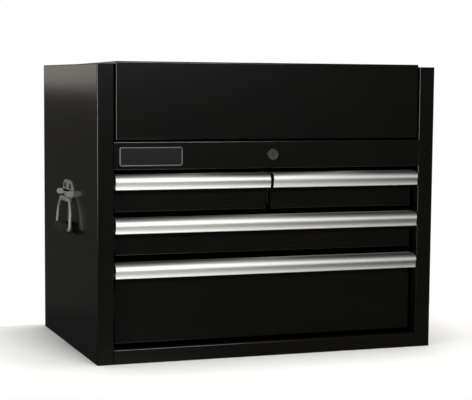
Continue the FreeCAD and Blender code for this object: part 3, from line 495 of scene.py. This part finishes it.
# The outline by (y, radius): dish and bezel, then the square body, notched where the clip bites.
corners = [(low[1] + dish_depth, bore_radius), (low[1] + dish_depth, dish_radius),
           (low[1], dish_radius + dish_slope), (low[1], face_radius), (panel_face, bezel_radius)]
bezel = rounded_line(corners, [0, dish_round, dish_round, rim_round, 0], closed=False)
body = np.array([(panel_face, body_half), (clip_front, body_half),
                 (clip_front, body_half - clip_bite), (clip_back, body_half - clip_bite),
                 (clip_back, body_half), (high[1], body_half)])
bore = np.array([(high[1], bore_radius)])
profile = np.concatenate([bezel, body, bore])
squared = np.repeat([0, 1, 0], [len(bezel), len(body), 1])
housing = ringed("lock_bezel_and_body", lathed(profile, lock_centre, (0, 1, 0), squared=squared),
                 [lock_plate], closed=True)
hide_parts("lock_housing")
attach(housing, "case")

# Side handles
# A bail of 6 mm wire, bent cold and held in the rolled barrel of a pressed bracket, both dull
# nickel plated. Two blackened rivets fix the bracket, and a sleeve of black plastic is the grip.
handle_smooth, handle_dull = 0.68, 0.78     # roughness where clear and where clouded
plating_haze = 3.3 * mm    # clouds in the nickel
scuff_size = 1.1 * mm      # rub marks on the blackening
moulding_grain = 1.4 * mm  # the spark-eroded grain is about 0.2 mm, drawn coarser to show
grain_depth = 0.03 * mm

# Nickel from a dull bath is a soft, cloudy grey that spreads each highlight widely.
handle_plate, tree = new_material("dull_nickel_plate_on_pressed_steel")
place = add(tree, "ShaderNodeTexCoord")
haze = add(tree, "ShaderNodeTexNoise", values={"Scale": 1 / plating_haze, "Detail": 2.0},
           links={"Vector": place.outputs["Object"]})
sheen = add(tree, "ShaderNodeMapRange", values={"To Min": handle_smooth, "To Max": handle_dull},
            links={"Value": haze.outputs["Fac"]})
skin = add(tree, "ShaderNodeBsdfPrincipled",
           values={"Base Color": linear("#c4c3be"), "Metallic": 1.0},
           links={"Roughness": sheen.outputs["Result"]})
add(tree, "ShaderNodeOutputMaterial", links={"Surface": skin.outputs["BSDF"]})

# Blackened in a hot oxide bath: almost black with a low gloss, a little paler where rubbed.
rivet_black, tree = new_material("blackened_steel_rivet")
place = add(tree, "ShaderNodeTexCoord")
scuff = add(tree, "ShaderNodeTexNoise", values={"Scale": 1 / scuff_size, "Detail": 2.0},
            links={"Vector": place.outputs["Object"]})
tint = add(tree, "ShaderNodeMix", {"data_type": "RGBA"},
           {"A": linear("#151514"), "B": linear("#232322")}, {"Factor": scuff.outputs["Fac"]})
skin = add(tree, "ShaderNodeBsdfPrincipled", values={"Roughness": 0.45},
           links={"Base Color": tint.outputs["Result"]})
add(tree, "ShaderNodeOutputMaterial", links={"Surface": skin.outputs["BSDF"]})

# Polypropylene from a grained mould: a soft matt black that shows no sharp highlight.
grip_plastic, tree = new_material("moulded_black_polypropylene")
place = add(tree, "ShaderNodeTexCoord")
grain = add(tree, "ShaderNodeTexNoise", values={"Scale": 1 / moulding_grain, "Detail": 2.0},
            links={"Vector": place.outputs["Object"]})
relief = add(tree, "ShaderNodeBump", values={"Strength": 0.4, "Distance": grain_depth},
             links={"Height": grain.outputs["Fac"]})
skin = add(tree, "ShaderNodeBsdfPrincipled",
           values={"Base Color": linear("#252422"), "Roughness": 0.9, "IOR": 1.49,
                   "Specular IOR Level": 0.25},
           links={"Normal": relief.outputs["Normal"]})
add(tree, "ShaderNodeOutputMaterial", links={"Surface": skin.outputs["BSDF"]})


def wire_along(name, path, square, radius, materials, around=20):
    """A round wire along a flat path: at each point a circle of p + r (n cos v + s sin v).
    s is square to the path's plane, n is square to s and to the path's direction."""
    way = np.gradient(path, axis=0)
    way = way / np.linalg.norm(way, axis=1)[:, None]
    n = np.cross(way, square)
    v = np.linspace(0, 2 * pi, around, endpoint=False)
    rings = path[:, None] + radius * (n[:, None] * np.cos(v)[None, :, None]
                                      + np.array(square)[None, None] * np.sin(v)[None, :, None])
    return ringed(name, rings, materials)


wire_radius, wire_split = 3.0 * mm, 1.0 * mm
arm_top_half, arm_bottom_half, arm_length = 36.0 * mm, 55.0 * mm, 57.0 * mm
arm_bow_half, arm_bow_drop = 50.0 * mm, 20.0 * mm
barrel_bend, bow_bend, grip_bend = 4.0 * mm, 24.0 * mm, 5.0 * mm
grip_radius, grip_half, grip_bore, grip_rest_gap = 11.0 * mm, 41.0 * mm, 3.1 * mm, 0.3 * mm
groove_inner, groove_floor_inner, groove_depth = 5.0 * mm, 5.6 * mm, 0.8 * mm
groove_floor_outer, groove_outer = 7.6 * mm, 8.2 * mm
barrel_height, barrel_out, barrel_half = 285.0 * mm, 7.0 * mm, 29.0 * mm
barrel_wall, barrel_bore, plate_sheet = 1.6 * mm, 3.08 * mm, 1.6 * mm
plate_half, plate_top, plate_foot, plate_neck = 43.0 * mm, 36.0 * mm, 4.0 * mm, 6.0 * mm
plate_shoulder, foot_round, neck_round = 12.0 * mm, 1.0 * mm, 3.0 * mm
shoulder_round, crown_round = 8.0 * mm, 23.0 * mm
ear_reach, ear_height, ear_inset, ear_round = 14.0 * mm, 11.0 * mm, 1.0 * mm, 5.0 * mm
rivet_half, rivet_rise, rivet_radius, rivet_height = 20.0 * mm, 24.5 * mm, 5.5 * mm, 2.2 * mm
side_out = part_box("right_side_panel")[1][0]
# Hanging, the bail leans out by the angle at which its grip just clears the panel.
lean = asin((grip_radius + grip_rest_gap - barrel_out) / arm_length)

# The sleeve's end has a ring groove round the wire's bore, and all its edges are rounded.
groove = np.array([(0, grip_bore), (0, groove_inner), (groove_depth, groove_floor_inner),
                   (groove_depth, groove_floor_outer), (0, groove_outer), (0, grip_radius)])
groove_radii = [0.1 * mm, 0.3 * mm, 0.2 * mm, 0.2 * mm, 0.3 * mm, 2.2 * mm]
# A rivet's dome from rim to crown, as shares of its height and its radius.
dome_shares = np.array([(0, 1), (0.35, 0.99), (0.6, 0.93), (0.8, 0.8), (0.93, 0.58), (1, 0.3)])
dome = dome_shares * [plate_sheet + rivet_height, rivet_radius]
through_sheet = np.array([0, edge_break, plate_sheet - edge_break, plate_sheet])

for side, out in (("left", -1), ("right", 1)):
    pivot = np.array([out * (side_out + barrel_out), 0, barrel_height])
    hang = np.array([out * sin(lean), 0, -cos(lean)])
    flat = np.array([(-wire_split, 0), (-arm_top_half, 0), (-arm_bow_half, arm_bow_drop),
                     (-arm_bottom_half, arm_length), (arm_bottom_half, arm_length),
                     (arm_bow_half, arm_bow_drop), (arm_top_half, 0), (wire_split, 0)])
    bends = [0, barrel_bend, bow_bend, grip_bend, grip_bend, bow_bend, barrel_bend, 0]
    route = rounded_line(flat, bends, closed=False)
    path = pivot + np.array([0, 1.0, 0]) * route[:, :1] + hang * route[:, 1:]
    bail = wire_along(side + "_handle_wire", path, (cos(lean), 0, out * sin(lean)), wire_radius,
                      [handle_plate])
    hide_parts(side + "_handle_bail")
    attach(bail, side + "_handle")

    corners = np.concatenate([groove - [grip_half, 0], groove[::-1] * [-1, 1] + [grip_half, 0]])
    sleeve = lathed(rounded_line(corners, groove_radii + groove_radii[::-1]),
                    pivot + hang * arm_length, (0, 1, 0), around=48)
    grip = ringed(side + "_handle_sleeve", sleeve, [grip_plastic], closed=True)
    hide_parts(side + "_handle_grip")
    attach(grip, side + "_handle")

    # The bracket's plate lies on the panel, its barrel is rolled round the wire, and an ear
    # stands out from the plate at each end.
    panel = out * side_out
    corners = [(-barrel_half, -plate_foot), (barrel_half, -plate_foot), (barrel_half, plate_neck),
               (plate_half, plate_shoulder), (plate_half, plate_top), (-plate_half, plate_top),
               (-plate_half, plate_shoulder), (-barrel_half, plate_neck)]
    radii = [foot_round, foot_round, neck_round, shoulder_round, crown_round, crown_round,
             shoulder_round, neck_round]
    plate = rounded_line(corners, radii, steps=17) + [0, barrel_height]
    corners = [(-barrel_half, barrel_bore), (-barrel_half, barrel_bore + barrel_wall),
               (barrel_half, barrel_bore + barrel_wall), (barrel_half, barrel_bore)]
    barrel = lathed(rounded_line(corners, [edge_break] * 4), pivot, (0, 1, 0), around=40)
    face = carried(plate, panel + out * through_sheet, edge_break)
    shells = {"plate": (face, False, handle_plate), "barrel": (barrel, True, handle_plate)}
    ear_foot = barrel_height + plate_shoulder - ear_height / 2
    ear_head = barrel_height + plate_shoulder + ear_height / 2
    for end, way in (("front", -1), ("back", 1)):
        corners = [(panel, ear_foot), (panel + out * ear_reach, ear_foot),
                   (panel + out * ear_reach, ear_head), (panel, ear_head)]
        radii = [edge_break, ear_round, ear_round, edge_break]
        lobe = rounded_line(corners[::out], radii[::out], steps=13)
        stations = way * (plate_half - ear_inset) - way * through_sheet
        ear = carried(lobe, stations, edge_break)[..., [1, 0, 2]]
        shells[end + "_ear"] = (ear, False, handle_plate)
    for end, way in (("front", -1), ("back", 1)):
        head = lathed(dome, (panel, way * rivet_half, barrel_height + rivet_rise), (out, 0, 0),
                      around=32)
        shells[end + "_rivet"] = (head.swapaxes(0, 1), False, rivet_black)
    for part, (rings, closed, finish) in shells.items():
        pressed = ringed(side + "_bracket_" + part, rings, [finish], closed=closed)
        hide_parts("handle_brackets")
        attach(pressed, "case")

# Name plate
# A stamped aluminium plate with a buffed rim and a dark satin field, left blank, bonded to the
# header. The rim takes a thin bright line of light, and the field shows faint brush lines.
plate_corner, plate_rim, plate_proud, rim_break = 4.0 * mm, 2.0 * mm, 0.6 * mm, 0.3 * mm
corner_points = 9
rim_smooth, rim_dull = 0.26, 0.34           # roughness of the buffed rim
brush_line, brush_run = 1.5 * mm, 75 * mm   # real lines are 0.2 mm apart, drawn coarser to show

plate_field, tree = new_material("dark_lacquered_brushed_aluminium")
place = add(tree, "ShaderNodeTexCoord")
along = add(tree, "ShaderNodeMapping", values={"Scale": (brush_line / brush_run, 1.0, 1.0)},
            links={"Vector": place.outputs["Object"]})
lines = add(tree, "ShaderNodeTexNoise", values={"Scale": 1 / brush_line, "Detail": 2.0},
            links={"Vector": along.outputs["Vector"]})
tint = add(tree, "ShaderNodeMix", {"data_type": "RGBA"},
           {"A": linear("#121314"), "B": linear("#1a1b1c")}, {"Factor": lines.outputs["Fac"]})
skin = add(tree, "ShaderNodeBsdfPrincipled", values={"Metallic": 0.7, "Roughness": 0.42},
           links={"Base Color": tint.outputs["Result"]})
add(tree, "ShaderNodeOutputMaterial", links={"Surface": skin.outputs["BSDF"]})

plate_metal, tree = new_material("buffed_aluminium_rim")
place = add(tree, "ShaderNodeTexCoord")
buff = add(tree, "ShaderNodeTexNoise", values={"Scale": 1 / brush_line, "Detail": 2.0},
           links={"Vector": place.outputs["Object"]})
sheen = add(tree, "ShaderNodeMapRange", values={"To Min": rim_smooth, "To Max": rim_dull},
            links={"Value": buff.outputs["Fac"]})
skin = add(tree, "ShaderNodeBsdfPrincipled",
           values={"Base Color": linear("#9c9c9d"), "Metallic": 1.0},
           links={"Roughness": sheen.outputs["Result"]})
add(tree, "ShaderNodeOutputMaterial", links={"Surface": skin.outputs["BSDF"]})

# Each (inset, y) of the rim's profile becomes a ring with rounded corners, and the last ring's
# cap is the field.
low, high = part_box("badge_plate")
profile = np.array([(0, high[1]), (0, low[1] + rim_break), (rim_break, low[1]),
                    (plate_rim - rim_break, low[1]), (plate_rim, low[1] + plate_proud)])
turn = np.linspace(0, pi / 2, corner_points)
quarter = np.stack([np.cos(turn), np.sin(turn)], 1)
quarters = np.concatenate([quarter, quarter[:, ::-1] * [-1, 1],
                           -quarter, quarter[:, ::-1] * [1, -1]])
left, right = low[0] + plate_corner, high[0] - plate_corner
bottom, top = low[2] + plate_corner, high[2] - plate_corner
centres = np.repeat([(right, top), (left, top), (left, bottom), (right, bottom)], corner_points,
                    axis=0)
loops = centres[None] + quarters[None] * (plate_corner - profile[:, 0])[:, None, None]
rings = np.stack([loops[..., 0], np.repeat(profile[:, 1:], loops.shape[1], 1), loops[..., 1]], -1)
plate = ringed("blank_name_plate", rings, [plate_metal, plate_field])
plate.data.polygons[len(plate.data.polygons) - 1].material_index = 1
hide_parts("badge_plate")
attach(plate, "case")
